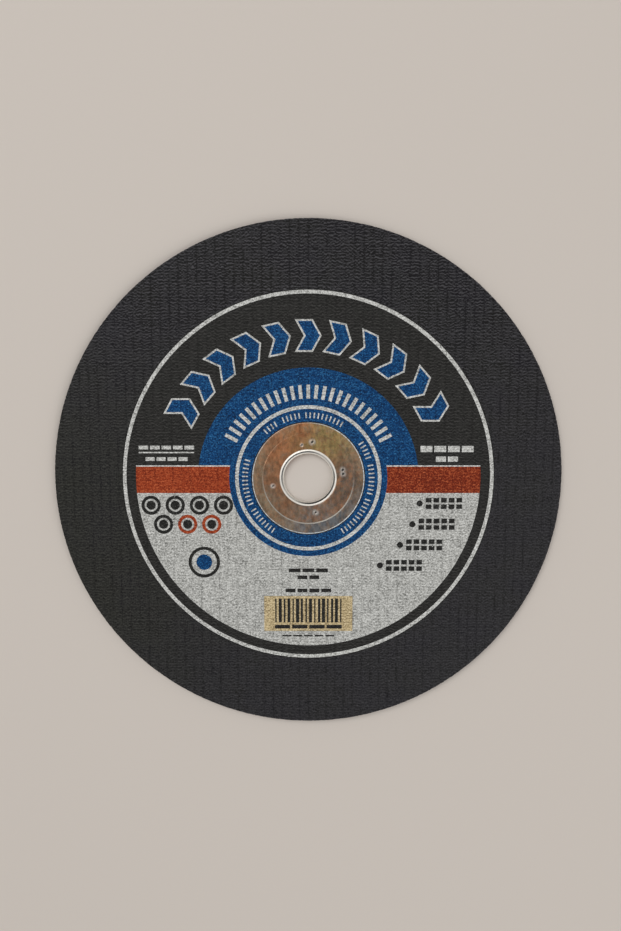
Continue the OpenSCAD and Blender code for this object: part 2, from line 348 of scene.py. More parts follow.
# Rings of broken grains round the rim, from the front edge to the back ply
def grainRings():
    steps = body["rimSteps"]
    turn = np.arange(steps) * 2 * np.pi / steps
    rings = []
    for height in np.linspace(body["top"] - body["rimBreak"], body["rimBreak"], body["grainRows"]):
        out = body["radius"] - body["gritDepth"] * bodyRandom.random(steps) ** 2
        rings.append(np.column_stack([out * np.cos(turn), out * np.sin(turn), np.full(steps, height)]))
    return rings


# Face with the fabric's relief between two circles: points, triangles, heights from 0 to 1, depths
def wovenFace(inner, reliefStart, rowsPerRib, shift):
    edge = body["radius"] - body["rimBreak"]
    loops = [circleLoop(edge, body["rimSteps"]), circleLoop(inner, body["boreSteps"], hole=True)]
    grid = fabricPoints(edge, rowsPerRib)
    grid = grid[np.hypot(grid[:, 0], grid[:, 1]) > inner]
    points, tris = fillLoops(loops, clearOf(grid, loops, body["gap"]))
    away = np.hypot(points[:, 0], points[:, 1])
    high = fabricHeight(points[:, 0] + shift * weave["warpPitch"], points[:, 1])
    sunk = body["depth"] * (1 - high) * smoothStep(away, reliefStart, reliefStart + body["reliefFade"])
    return points, tris, high, sunk


# Where each block of points starts
def startsOf(blocks):
    return np.concatenate([[0], np.cumsum([len(points) for points, _ in blocks])[:-1]])


# Joins rings and faces into one closed piece, mapped round one centre, with its hidden face in a corner
def closeBody(name, blocks, rimPairs, borePairs, face, hiddenFace):
    verts, high = (np.concatenate(part) for part in zip(*blocks))
    bands = [ringBand(a, b, body["rimSteps"]) for a, b in rimPairs]
    bands += [ringBand(a, b, body["boreSteps"]) for a, b in borePairs]
    away = np.hypot(verts[:, 0], verts[:, 1])
    rise = np.abs(verts[:, 2] - verts[0, 2])
    onRim = away > body["radius"] - body["rimBreak"] - 0.01
    onBore = away < body["bore"] + 0.01
    reach = away + np.where(onRim, rise, 0) - np.where(onBore, rise, 0)
    span = 2 * (body["radius"] + body["top"] + 1)
    flat = verts[:, :2] * (reach / away / span)[:, None] + 0.5
    corner = verts[:, :2] / body["radius"] * 0.075 + 0.08  # a small disc beside the large one
    groups = [(face, flat), (hiddenFace, corner)] + [(band, flat) for band in bands]
    return makeWoven(name, "abrasive_disc", "abrasive", verts, high, groups, body["sharp"])


def buildBody():
    rimSteps, top = body["rimSteps"], body["top"]
    grains = grainRings()
    # Triangles between the last ring of grains and the bore, to be set at either piece's own points
    boreEnd = boreRing(body["bore"], body["rimBreak"])
    _, joint = fillLoops([grains[-1][:, :2], boreEnd[0][:, :2]], np.empty((0, 2)))

    def jointAt(rimStart, boreStart):
        return np.where(joint < rimSteps, joint + rimStart, joint - rimSteps + boreStart)

    # Front: the woven face, the grains round the rim and the seats
    points, tris, high, sunk = wovenFace(body["labelSeat"][0], body["reliefStart"], weave["rowsPerRib"], 0)
    blocks = [(np.column_stack([points, top - sunk]), high)]
    blocks += [(ring, bodyRandom.random(rimSteps)) for ring in grains]
    blocks += seatRings()
    at = startsOf(blocks)
    rimStarts, seatStarts = [0, *at[1:1 + len(grains)]], [rimSteps, *at[1 + len(grains):]]
    front = closeBody("wheelBody", blocks, zip(rimStarts, rimStarts[1:]), zip(seatStarts, seatStarts[1:]),
                      tris, jointAt(rimStarts[-1], seatStarts[-1])[:, ::-1])
    # Back ply: the woven face, the last ring of grains, and the bore and clamping zone
    clamp = body["clampRadius"]
    points, tris, high, sunk = wovenFace(clamp, clamp, body["backRows"], body["backShift"])
    blocks = [(np.column_stack([points, sunk]), high), (grains[-1], bodyRandom.random(rimSteps)),
              boreRing(body["bore"], 0.0), boreEnd, boreRing(clamp - body["clampEdge"], 0.0)]
    _, rim, boreFace, boreTop, clampRing = startsOf(blocks)
    back = closeBody("wheelBackPly", blocks, [(rim, 0)],
                     [(boreTop, boreFace), (boreFace, clampRing), (clampRing, rimSteps)],
                     tris[:, ::-1], jointAt(rim, boreTop))
    return front, back


bodyPieces = buildBody()
print("stage 2: abrasive body,", [len(piece.data.polygons) for piece in bodyPieces], "faces")

# Paper and inks, pressed into the fabric
press = dict(
    depth=0.10,  # relief that shows through paper and ink
    inkDepth=0.05,
    bed=0.02,  # how far an ink's underside is sunk into what carries it
    step=0.75,  # mesh length along outlines
    corner=35.0,  # degrees: a sharper turn is a corner, not a curve
    gap=0.22,  # least distance of a mesh point from an outline
    sharp=40.0,
)
sheetPoints = fabricPoints(labelRadius, weave["rowsPerRib"])


# Top faces of a node, by height: points, triangles
def topFaces(node):
    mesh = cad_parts[node].data
    mesh.calc_loop_triangles()
    verts = np.array([v.co for v in mesh.vertices]) / mm
    tris = np.array([t.vertices for t in mesh.loop_triangles])
    a, b, c = (verts[tris[:, i]] for i in range(3))
    normal = np.cross(b - a, c - a)
    up = normal[:, 2] > 0.9 * np.linalg.norm(normal, axis=1)
    level = np.round(a[:, 2], 2)
    for height in np.unique(level[up]):
        chosen = tris[up & (level == height)]
        flat, index = np.unique(np.round(verts[chosen.ravel()][:, :2], 4), axis=0, return_inverse=True)
        yield height, flat, index.reshape(-1, 3)


# Closed outlines of a patch of triangles, with the patch on the left
def outlinesOf(flat, tris):
    sides = {(int(t[i]), int(t[(i + 1) % 3])) for t in tris for i in range(3)}
    ahead = {}
    for a, b in sorted(sides):
        if (b, a) not in sides:
            ahead.setdefault(a, []).append(b)
    loops = []
    while ahead:
        first = next(iter(ahead))
        loop, here = [], first
        while True:
            loop.append(here)
            following = ahead[here].pop()
            if not ahead[here]:
                del ahead[here]
            here = following
            if here == first:
                break
        loops.append(flat[loop])
    return loops


# Finer outline: curves are rounded between their points, corners stay
def refined(loop):
    side = np.roll(loop, -1, axis=0) - loop
    length = np.linalg.norm(side, axis=1)
    way = side / length[:, None]
    before = np.roll(way, 1, axis=0)
    smooth = np.sum(way * before, axis=1) > math.cos(math.radians(press["corner"]))
    lean = way * np.roll(length, 1)[:, None] + before * length[:, None]
    lean /= np.linalg.norm(lean, axis=1)[:, None]
    points = []
    for i in range(len(loop)):
        j = (i + 1) % len(loop)
        start = lean[i] if smooth[i] else (2 * way[i] - lean[j] if smooth[j] else way[i])
        end = lean[j] if smooth[j] else (2 * way[i] - lean[i] if smooth[i] else way[i])
        count = max(1, math.ceil(length[i] / press["step"]))
        s = (np.arange(count) / count)[:, None]
        points.append((2 * s**3 - 3 * s**2 + 1) * loop[i] + (s**3 - 2 * s**2 + s) * length[i] * start
                      + (3 * s**2 - 2 * s**3) * loop[j] + (s**3 - s**2) * length[i] * end)
    return np.vstack(points)


# A thin closed sheet over one patch, with the fabric's relief in its top
def pressedSheet(height, flat, tris, thickness, flatUnder):
    loops = [refined(loop) for loop in outlinesOf(flat, tris)]
    lifted = [Vector((x, y, 0)) for x, y in flat]
    cover = BVHTree.FromPolygons(lifted, tris.tolist())
    low, high = flat.min(axis=0), flat.max(axis=0)
    near = sheetPoints[np.all((sheetPoints > low) & (sheetPoints < high), axis=1)]
    down = Vector((0, 0, -1))
    held = [cover.ray_cast(Vector((x, y, 1)), down)[0] is not None for x, y in near]
    inner = clearOf(near[np.array(held, dtype=bool)], loops, press["gap"])
    points, topTris = fillLoops(loops, inner)
    outline = np.vstack(loops)
    _, underTris = fillLoops(loops, np.empty((0, 2)))
    weaveHigh = fabricHeight(points[:, 0], points[:, 1])
    sunk = press["depth"] * (1 - weaveHigh)
    topVerts = np.column_stack([points, height - sunk])
    under = np.full(len(outline), height - thickness)
    if not flatUnder:
        under = under - sunk[:len(outline)]
    underVerts = np.column_stack([outline, under])
    walls, start = [], 0
    for loop in loops:
        here = start + np.arange(len(loop))
        ahead = start + (np.arange(len(loop)) + 1) % len(loop)
        walls.append(np.column_stack([here + len(points), ahead + len(points), ahead, here]))
        start += len(loop)
    verts = np.vstack([topVerts, underVerts])
    high = np.concatenate([weaveHigh, weaveHigh[:len(outline)]])
    return verts, topTris, underTris[:, ::-1] + len(points), np.vstack(walls), high


def buildSheet(name, node, slot):
    isPaper = node == "label"
    thickness = press["inkDepth"] + press["bed"]
    if isPaper:
        thickness = (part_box(node)[1].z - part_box(node)[0].z) / mm
    parts, start = [], 0
    for height, flat, tris in topFaces(node):
        verts, top, under, walls, high = pressedSheet(height, flat, tris, thickness, isPaper)
        parts.append((verts, top + start, under + start, walls + start, high))
        start += len(verts)
    verts, top, under, walls, high = (np.concatenate(block) for block in zip(*parts))
    span = 2 * np.abs(verts[:, :2]).max() + 2
    wide, small, margin = 0.74, 0.22, 0.005  # shares of the map for the top, the underside and its edge
    topFlat = verts[:, :2] / span * wide + wide / 2 + margin
    underFlat = verts[:, :2] / span * small + small / 2 + np.array([wide + 0.02, margin])
    wallFlat = topFlat.copy()
    foot = np.unique(under)
    wallFlat[foot] = verts[foot, :2] / span * wide * 0.999 + wide / 2 + margin  # a hair inside the top's edge
    groups = [(top, topFlat), (under, underFlat), (walls, wallFlat)]
    return makeWoven(name, node, slot, verts, high, groups, press["sharp"])


sheets = {}
for name, node, slot in [
    ("labelPaper", "label", "label_paper"),
    ("silverField", "silver_print", "silver_ink"),
    ("redBand", "red_print", "red_ink"),
    ("blueFields", "blue_print", "blue_ink"),
    ("whiteLines", "white_print", "white_ink"),
    ("creamPatch", "cream_print", "cream_ink"),
    ("blackMarks", "black_print", "black_ink"),
]:
    sheets[name] = buildSheet(name, node, slot)
    print("  sheet", name, len(sheets[name].data.polygons), "faces")
print("stage 3: label and inks")

# Pressed steel ring
ringSizes = dict(
    flange=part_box("centre_ring")[1].x / mm,
    rimTop=3.1,
    sheet=0.5,  # its thickness
    step=20.8,
    stepDrop=0.25,
    bore=11.115,
    lipRadius=1.2,
    lipHeight=0.2,  # above the web
    lipRise=(-0.3, 0.2),  # way in which the web bends up into the lip
    lipStart=10.0,  # degrees from the lip's foot to its first row
    lipSoftness=0.22,  # radii of the pressed corners
    stepSoftness=0.154,
    collarEnd=0.2,
    collarEdge=0.12,
    edgeRadius=0.2,
    # Mesh rows, closest where the staking marks lie: first radius, last radius, step
    rimRows=(24.8, 21.3, -0.5),
    webRows=((20.0, 17.9, -0.4), (17.7, 14.9, -0.14), (14.7, 13.4, -0.3)),
    collarRows=(1.4, 0.9, 0.5),  # heights, in the bore
    collarBack=1.0,  # height of the one row outside
    turns=288,
    markTurns=(-6.0, 6.01, 0.4),  # degrees to either side of a staking mark, where the mesh is closer
    sharp=50.0,
    ripple=0.018,  # unevenness of the pressed sheet
    evenLip=13.2,  # radius inside which the sheet is even
    # Staking marks: direction, radius, how dark the pit is and how wide its rubbed halo
    stakes=((7.5, 15.9, 1.0, 1.4), (14, 16.1, 1.0, 1.4), (84, 16.7, 0.9, 1.5), (101, 15.5, 0.55, 0.9),
            (192, 16.4, 0.6, 1.2), (282, 16.0, 0.7, 1.4)),
    stakeRadius=0.7,
    stakeDepth=0.25,
    burr=0.05,  # metal thrown up round a staking mark
    burrWidth=0.25,
)


def arcPoints(centre, radius, start, end, count):
    turn = np.radians(np.linspace(start, end, count))
    return [(centre[0] + radius * math.cos(t), centre[1] + radius * math.sin(t)) for t in turn]


# Rounds the corner at b on the way from a to c
def softCorner(a, b, c, radius, count=5):
    a, b, c = (np.array(p, dtype=float) for p in (a, b, c))
    toA, toC = (a - b) / np.linalg.norm(a - b), (c - b) / np.linalg.norm(c - b)
    first, last = b + toA * radius, b + toC * radius
    return [tuple((1 - s) ** 2 * first + 2 * s * (1 - s) * b + s**2 * last) for s in np.linspace(0, 1, count)]


# Outline of the sheet from the flange's edge over the lip to the collar's end, and back underneath
def ringProfile():
    k = ringSizes
    rimUnder, webTop = k["rimTop"] - k["sheet"], k["rimTop"] - k["stepDrop"]
    webUnder = webTop - k["sheet"]
    lipCentre = (k["bore"] + k["lipRadius"], webTop + k["lipHeight"] - k["lipRadius"])
    bendInside = k["lipRadius"] - k["sheet"]
    stepFoot, stepHead = (k["step"] - k["stepDrop"], webTop), (k["step"], k["rimTop"])
    lipTurn = math.degrees(math.asin((webTop - lipCentre[1]) / k["lipRadius"]))
    bendTurn = math.degrees(math.asin((webUnder - lipCentre[1]) / bendInside))
    lipFoot = arcPoints(lipCentre, k["lipRadius"], lipTurn, lipTurn, 1)[0]
    edgeCentre = (k["flange"] - k["edgeRadius"], k["rimTop"] - k["edgeRadius"])
    top = [(k["flange"], rimUnder)]
    top += arcPoints(edgeCentre, k["edgeRadius"], 0, 90, 6)
    top += [(r, k["rimTop"]) for r in np.arange(*k["rimRows"])]
    top += softCorner((stepHead[0] + 1, k["rimTop"]), stepHead, stepFoot, k["stepSoftness"])
    top += softCorner(stepHead, stepFoot, (stepFoot[0] - 1, webTop), k["stepSoftness"])
    for rows in k["webRows"]:
        top += [(r, webTop) for r in np.arange(*rows)]
    risen = np.add(lipFoot, k["lipRise"])
    top += softCorner((lipFoot[0] + 1, webTop), lipFoot, risen, k["lipSoftness"])[:-1]
    top += arcPoints(lipCentre, k["lipRadius"], lipTurn + k["lipStart"], 180, 22)
    top += [(k["bore"], z) for z in k["collarRows"]]
    collarFoot = (k["bore"], k["collarEnd"])
    outside = k["bore"] + k["sheet"]
    top += softCorner((k["bore"], k["collarBack"]), collarFoot, (outside, k["collarEnd"]), k["collarEdge"])
    under = [(outside, k["collarEnd"]), (outside, k["collarBack"])]
    under += arcPoints(lipCentre, bendInside, 180, bendTurn, 9)
    under += [(stepFoot[0], webUnder), (stepHead[0], rimUnder)]
    return np.array(top), np.array(under)


# Slow waves of the pressed sheet, from -2 to 2
def sheetWave(x, y):
    return np.sin(x / 4.7 + 0.6 * np.sin(y / 3.9)) + np.sin(y / 5.6 - x / 9.1 + 2.0)


def buildRing():
    k = ringSizes
    top, under = ringProfile()
    profile = np.vstack([top, under])
    close = np.radians(np.arange(*k["markTurns"]))
    turn = [np.arange(k["turns"]) * 2 * np.pi / k["turns"]]
    turn = np.concatenate(turn + [math.radians(angle) + close for angle, *_ in k["stakes"]])
    turn = np.unique(np.round(turn % (2 * np.pi), 4))
    count, rows = len(turn), len(profile)
    r, z = profile[:, 0][:, None], profile[:, 1][:, None]
    x, y = r * np.cos(turn), r * np.sin(turn)
    z = np.broadcast_to(z, x.shape).copy()
    onTop = (np.arange(rows) < len(top))[:, None] & (r > k["evenLip"])
    z -= onTop * k["ripple"] * (0.5 + 0.25 * sheetWave(x, y))
    bright, pit = np.zeros_like(z), np.zeros_like(z)
    for angle, circle, dark, halo in k["stakes"]:
        mark = math.radians(angle)
        away = np.hypot(x - circle * math.cos(mark), y - circle * math.sin(mark))
        hollow = np.clip(1 - (away / k["stakeRadius"]) ** 2, 0, 1)
        mound = np.exp(-((away - k["stakeRadius"] - 0.7 * k["burrWidth"]) / k["burrWidth"]) ** 2)
        z += onTop * (k["burr"] * mound - k["stakeDepth"] * hollow)
        bright = np.maximum(bright, onTop * np.clip(1.3 - away / halo, 0, 1))
        pit = np.maximum(pit, onTop * hollow * dark)
    verts = np.column_stack([x.ravel(), y.ravel(), z.ravel()])
    row, column = (grid.ravel() for grid in np.meshgrid(np.arange(rows), np.arange(count), indexing="ij"))
    nextRow, nextColumn = (row + 1) % rows, (column + 1) % count
    quads = np.column_stack([row * count + column, row * count + nextColumn,
                             nextRow * count + nextColumn, nextRow * count + column])
    # Unrolled map: round the ring one way, along the sheet the other
    ahead = np.vstack([profile[1:], profile[:1]])
    along = np.concatenate([[0], np.cumsum(np.linalg.norm(ahead - profile, axis=1))])
    along /= along[-1]
    around = np.append(turn, turn[0] + 2 * np.pi) / (2 * np.pi)
    corners = np.empty((len(quads), 4, 2))
    for i, (dr, dc) in enumerate([(0, 0), (0, 1), (1, 1), (1, 0)]):
        corners[:, i, 0] = around[column + dc]
        corners[:, i, 1] = along[row + dr]
    values = {"bright": bright.ravel(), "pit": pit.ravel()}
    return makePiece("centreRing", "centre_ring", "passivated_steel", verts, quads.tolist(), corners, values,
                     k["sharp"])


centreRing = buildRing()
print("stage 4: centre ring,", len(centreRing.data.polygons), "faces")


# Shader node groups shared by the finishes
def newGroup(name, inputs, outputs):
    tree = bpy.data.node_groups.new(name, "ShaderNodeTree")
    for title, kind, start in inputs:
        socket = tree.interface.new_socket(title, in_out="INPUT", socket_type=kind)
        socket.default_value = start
    for title, kind in outputs:
        tree.interface.new_socket(title, in_out="OUTPUT", socket_type=kind)
    return tree, addNode(tree, "NodeGroupInput"), addNode(tree, "NodeGroupOutput")


# Position in millimetres, stretched by a factor each way
def millimetres(tree, stretch=(1, 1, 1)):
    where = addNode(tree, "ShaderNodeTexCoord")
    scaled = addNode(tree, "ShaderNodeVectorMath", operation="MULTIPLY")
    scaled.inputs[1].default_value = [1000 * s for s in stretch]
    wire(tree, where.outputs["Object"], scaled.inputs[0])
    return scaled.outputs[0]


def noise(tree, place, scale, detail=2.0, rough=0.5):
    node = addNode(tree, "ShaderNodeTexNoise")
    node.inputs["Scale"].default_value = scale
    node.inputs["Detail"].default_value = detail
    node.inputs["Roughness"].default_value = rough
    wire(tree, place, node.inputs["Vector"])
    return node.outputs["Fac"]


def ranged(tree, value, low, high, toLow=0.0, toHigh=1.0):
    node = addNode(tree, "ShaderNodeMapRange")
    for title, number in {"From Min": low, "From Max": high, "To Min": toLow, "To Max": toHigh}.items():
        node.inputs[title].default_value = number
    wire(tree, value, node.inputs["Value"])
    return node.outputs["Result"]


def combine(tree, operation, first, second):
    node = addNode(tree, "ShaderNodeMath", operation=operation)
    for socket, value in zip(node.inputs, (first, second)):
        if isinstance(value, (int, float)):
            socket.default_value = value
        else:
            wire(tree, value, socket)
    return node.outputs[0]


def blended(tree, share, first, second, kind="MIX"):
    node = addNode(tree, "ShaderNodeMix", data_type="RGBA", blend_type=kind)
    for socket, value in zip((node.inputs[0], node.inputs[6], node.inputs[7]), (share, first, second)):
        if isinstance(value, (int, float)):
            socket.default_value = value
        elif isinstance(value, tuple):
            socket.default_value = (*value, 1)
        else:
            wire(tree, value, socket)
    return node.outputs[2]


# One coordinate of the position, in millimetres
def alongAxis(tree, axis):
    split = addNode(tree, "ShaderNodeSeparateXYZ")
    wire(tree, millimetres(tree), split.inputs[0])
    return split.outputs[axis]


def distanceTo(tree, place, point):
    apart = addNode(tree, "ShaderNodeVectorMath", operation="DISTANCE")
    apart.inputs[1].default_value = point
    wire(tree, place, apart.inputs[0])
    return apart.outputs["Value"]


# Soft patch round a point of the front
def patch(tree, centre, size):
    apart = distanceTo(tree, millimetres(tree), (*centre, 3))
    return ranged(tree, apart, size * 0.35, size, 1.0, 0.0)


def readValue(tree, name):
    return addNode(tree, "ShaderNodeAttribute", attribute_name=name).outputs["Fac"]


# Fineness of the fabric's grain, per millimetre
grainSizes = dict(
    thread=(0.45, 1.6, 1),  # along a rib and across it
    yarn=(2.2, 0.6, 1),
    grit=2.2,
    cloud=0.05,
)


# Grain of the pressed fabric: crests, grooves, threads along the ribs, yarns across them, grit
def wovenGrainGroup():
    sizes = grainSizes
    tree, _, out = newGroup("wovenGrain", [], [
        ("Crest", "NodeSocketFloat"), ("Groove", "NodeSocketFloat"), ("Thread", "NodeSocketFloat"),
        ("Yarn", "NodeSocketFloat"), ("Grit", "NodeSocketFloat"), ("Cloud", "NodeSocketFloat"),
        ("Height", "NodeSocketFloat")])
    thread = noise(tree, millimetres(tree, sizes["thread"]), 1.0, 3.0, 0.6)
    yarn = noise(tree, millimetres(tree, sizes["yarn"]), 1.0, 2.0, 0.5)
    grit = noise(tree, millimetres(tree), sizes["grit"], 2.0, 0.6)
    cloud = noise(tree, millimetres(tree), sizes["cloud"], 3.0, 0.55)
    wire(tree, readValue(tree, "weave"), out.inputs["Crest"])
    wire(tree, readValue(tree, "groove"), out.inputs["Groove"])
    wire(tree, ranged(tree, thread, 0.3, 0.7), out.inputs["Thread"])
    wire(tree, ranged(tree, yarn, 0.3, 0.7, -1, 1), out.inputs["Yarn"])
    wire(tree, ranged(tree, grit, 0.3, 0.7), out.inputs["Grit"])
    wire(tree, ranged(tree, cloud, 0.35, 0.65), out.inputs["Cloud"])
    wire(tree, combine(tree, "ADD", thread, grit), out.inputs["Height"])
    return tree


# How ink takes to the fabric
printSizes = dict(
    mottle=1.85,  # blotches per millimetre
    deepMottle=(0.40, 0.52),  # noise below this is deep
    fleckMottle=(0.52, 0.67),  # noise above this is rubbed to flecks
    uneven=0.22,  # slow changes per millimetre
    unevenShare=0.09,
    sideways=(-20, 45),  # X over which an ink may grow deeper
)


# Ink on the pressed fabric: deep in the valleys, rubbed to flecks on the crests
def printedInkGroup(grainTree):
    sizes = printSizes
    tree, given, out = newGroup("printedInk", [
        ("Ink", "NodeSocketColor", (0.5, 0.5, 0.5, 1)), ("Deep", "NodeSocketColor", (0.1, 0.1, 0.1, 1)),
        ("Fleck", "NodeSocketColor", (0.8, 0.8, 0.8, 1)), ("Deep Share", "NodeSocketFloat", 0.5),
        ("Fleck Share", "NodeSocketFloat", 0.3), ("Roughness", "NodeSocketFloat", 0.6),
        ("Sideways", "NodeSocketFloat", 0.0),
    ], [("Color", "NodeSocketColor"), ("Roughness", "NodeSocketFloat"), ("Height", "NodeSocketFloat")])
    grain = addNode(tree, "ShaderNodeGroup", node_tree=grainTree)
    # Valleys and blotches take the deeper tone
    hollow = ranged(tree, grain.outputs["Crest"], 0.1, 0.5, 0.5, 0.0)
    hollow = combine(tree, "MAXIMUM", hollow, ranged(tree, grain.outputs["Groove"], 0.12, 0.5, 0.0, 0.7))
    mottle = noise(tree, millimetres(tree), sizes["mottle"], 2.0, 0.55)
    sunk = combine(tree, "ADD", hollow, ranged(tree, mottle, *sizes["deepMottle"], 0.5, 0.0))
    uneven = noise(tree, millimetres(tree), sizes["uneven"], 2.0, 0.5)
    uneven = ranged(tree, uneven, 0.3, 0.7, -sizes["unevenShare"], sizes["unevenShare"])
    sunk = combine(tree, "ADD", sunk, uneven)
    # An ink may grow darker towards +X
    side = ranged(tree, alongAxis(tree, "X"), *sizes["sideways"])
    sunk = combine(tree, "ADD", sunk, combine(tree, "MULTIPLY", side, given.outputs["Sideways"]))
    deepShare = combine(tree, "MULTIPLY", sunk, given.outputs["Deep Share"])
    color = blended(tree, deepShare, given.outputs["Ink"], given.outputs["Deep"])
    lit = ranged(tree, grain.outputs["Crest"], 0.2, 0.7, 0.35, 1.0)
    fleck = combine(tree, "MULTIPLY", ranged(tree, mottle, *sizes["fleckMottle"]), lit)
    fleckShare = combine(tree, "MULTIPLY", fleck, given.outputs["Fleck Share"])
    color = blended(tree, fleckShare, color, given.outputs["Fleck"])
    wire(tree, color, out.inputs["Color"])
    shine = combine(tree, "MULTIPLY", grain.outputs["Grit"], 0.2)
    wire(tree, combine(tree, "ADD", shine, given.outputs["Roughness"]), out.inputs["Roughness"])
    wire(tree, grain.outputs["Height"], out.inputs["Height"])
    return tree


def newFinish(name):
    material = bpy.data.materials.new(name)
    material.use_nodes = True
    tree = material.node_tree
    return material, tree, tree.nodes["Principled BSDF"]


def addBump(tree, shader, height, distance):
    bump = addNode(tree, "ShaderNodeBump")
    bump.inputs["Distance"].default_value = distance * mm
    wire(tree, height, bump.inputs["Height"])
    wire(tree, bump.outputs["Normal"], shader.inputs["Normal"])


wovenGrain = wovenGrainGroup()
printedInk = printedInkGroup(wovenGrain)

# Dark resin, a little bluer or browner from place to place; crests paler and hollows darker, partly painted
# highlight and shade, under a painted sheen that grows towards +Y, with painted warm light on the left
abrasiveLook = dict(
    blue=(0.0052, 0.0047, 0.0064),
    brown=(0.0056, 0.0054, 0.0045),
    crest=(0.066, 0.064, 0.0683),
    warmLitCrest=(0.0625, 0.0625, 0.0535),
    warmLightPatch=((-105, -30), 100),  # place and size of the painted warm light on the crests
    mean=0.30,  # share of the crest's colour where the painted sheen evens out
    sheenSpan=(10, 90),  # Y over which the painted sheen grows, from its least
    leastSheen=0.42,
    yarnShare=0.16,  # how much the yarns show where the painted sheen is least
    gritShare=0.28,
    # painted shade in the warp valleys
    grooveShade=0.14,
    bump=0.05,
    shine=0.12,
)


def abrasiveFinish():
    look = abrasiveLook
    material, tree, shader = newFinish("abrasiveResin")
    grain = addNode(tree, "ShaderNodeGroup", node_tree=wovenGrain)
    ground = blended(tree, grain.outputs["Cloud"], look["brown"], look["blue"])
    across = alongAxis(tree, "Y")
    topSheen = ranged(tree, across, *look["sheenSpan"], look["leastSheen"], 1.0)
    plain = ranged(tree, across, *look["sheenSpan"], look["yarnShare"], 0.0)
    # Crests are painted paler and hollows darker than the mean, partly the fabric's own tone and partly
    # painted highlight and shade, scaled by the painted sheen; grit breaks both
    ribs = ranged(tree, grain.outputs["Crest"], 0.25, 0.85, -look["mean"], 1 - look["mean"])
    broken = combine(tree, "MULTIPLY", ribs, ranged(tree, grain.outputs["Thread"], 0, 1, 0.6, 1.4))
    grit = ranged(tree, grain.outputs["Grit"], 0, 1, -look["gritShare"], look["gritShare"])
    gritty = combine(tree, "ADD", broken, grit)
    share = combine(tree, "ADD", combine(tree, "MULTIPLY", gritty, topSheen), look["mean"])
    share = combine(tree, "ADD", share, combine(tree, "MULTIPLY", grain.outputs["Yarn"], plain))
    # Painted shade in the warp valleys
    paintedGrooveShade = combine(tree, "MULTIPLY", grain.outputs["Groove"], look["grooveShade"])
    share = combine(tree, "SUBTRACT", share, paintedGrooveShade)
    # Painted warm light: crests warmer towards the left
    crest = blended(tree, patch(tree, *look["warmLightPatch"]), look["crest"], look["warmLitCrest"])
    wire(tree, blended(tree, share, ground, crest), shader.inputs["Base Color"])
    wire(tree, ranged(tree, grain.outputs["Grit"], 0, 1, 0.50, 0.70), shader.inputs["Roughness"])
    shader.inputs["Specular IOR Level"].default_value = look["shine"]
    addBump(tree, shader, grain.outputs["Height"], look["bump"])
    return material


# Black paper of the label, its crests paler, partly rubbed and partly a painted highlight
paperLook = dict(
    ground=(0.0090, 0.0086, 0.0077),
    pale=(0.0560, 0.0545, 0.0510),
    bump=0.03,
    shine=0.12,
)


def paperFinish():
    look = paperLook
    material, tree, shader = newFinish("labelPaper")
    grain = addNode(tree, "ShaderNodeGroup", node_tree=wovenGrain)
    crest = ranged(tree, grain.outputs["Crest"], 0.2, 0.8)
    wearAndSheen = combine(tree, "MULTIPLY", crest, ranged(tree, grain.outputs["Thread"], 0, 1, 0.2, 1.0))
    wearAndSheen = combine(tree, "ADD", wearAndSheen, ranged(tree, grain.outputs["Grit"], 0, 1, -0.1, 0.2))
    wire(tree, blended(tree, wearAndSheen, look["ground"], look["pale"]), shader.inputs["Base Color"])
    wire(tree, ranged(tree, grain.outputs["Grit"], 0, 1, 0.55, 0.72), shader.inputs["Roughness"])
    shader.inputs["Specular IOR Level"].default_value = look["shine"]
    addBump(tree, shader, grain.outputs["Height"], look["bump"])
    return material


# Inks: colour, tone in the hollows, rubbed flecks, shares of both, roughness, how much deeper towards +X
inkLooks = {
    "silverField": {
        "Ink": (0.475, 0.475, 0.447), "Deep": (0.14, 0.14, 0.13), "Fleck": (0.76, 0.76, 0.73),
        "Deep Share": 1.0, "Fleck Share": 0.8, "Roughness": 0.5},
    "redBand": {
        "Ink": (0.319, 0.0465, 0.0125), "Deep": (0.11, 0.0105, 0.003), "Fleck": (0.49, 0.135, 0.050),
        "Deep Share": 1.0, "Fleck Share": 0.9, "Roughness": 0.55, "Sideways": 0.40},
    "blueFields": {
        "Ink": (0.0010, 0.047, 0.158), "Deep": (0.0003, 0.0085, 0.033), "Fleck": (0.042, 0.19, 0.37),
        "Deep Share": 1.0, "Fleck Share": 0.8, "Roughness": 0.5},
    "whiteLines": {
        "Ink": (0.55, 0.55, 0.52), "Deep": (0.15, 0.15, 0.14), "Fleck": (0.79, 0.79, 0.77),
        "Deep Share": 1.0, "Fleck Share": 0.8, "Roughness": 0.55},
    "creamPatch": {
        "Ink": (0.535, 0.42, 0.23), "Deep": (0.15, 0.11, 0.055), "Fleck": (0.72, 0.61, 0.41),
        "Deep Share": 1.0, "Fleck Share": 0.9, "Roughness": 0.55},
    "blackMarks": {
        "Ink": (0.012, 0.0115, 0.0105), "Deep": (0.007, 0.007, 0.006), "Fleck": (0.13, 0.13, 0.12),
        "Deep Share": 0.5, "Fleck Share": 0.5, "Roughness": 0.55},
}


# An ink has the paper's shine and bumps
def inkFinish(name):
    material, tree, shader = newFinish(name)
    group = addNode(tree, "ShaderNodeGroup", node_tree=printedInk)
    for title, value in inkLooks[name].items():
        group.inputs[title].default_value = (*value, 1) if isinstance(value, tuple) else value
    wire(tree, group.outputs["Color"], shader.inputs["Base Color"])
    wire(tree, group.outputs["Roughness"], shader.inputs["Roughness"])
    shader.inputs["Specular IOR Level"].default_value = paperLook["shine"]
    addBump(tree, shader, group.outputs["Height"], paperLook["bump"])
    return material
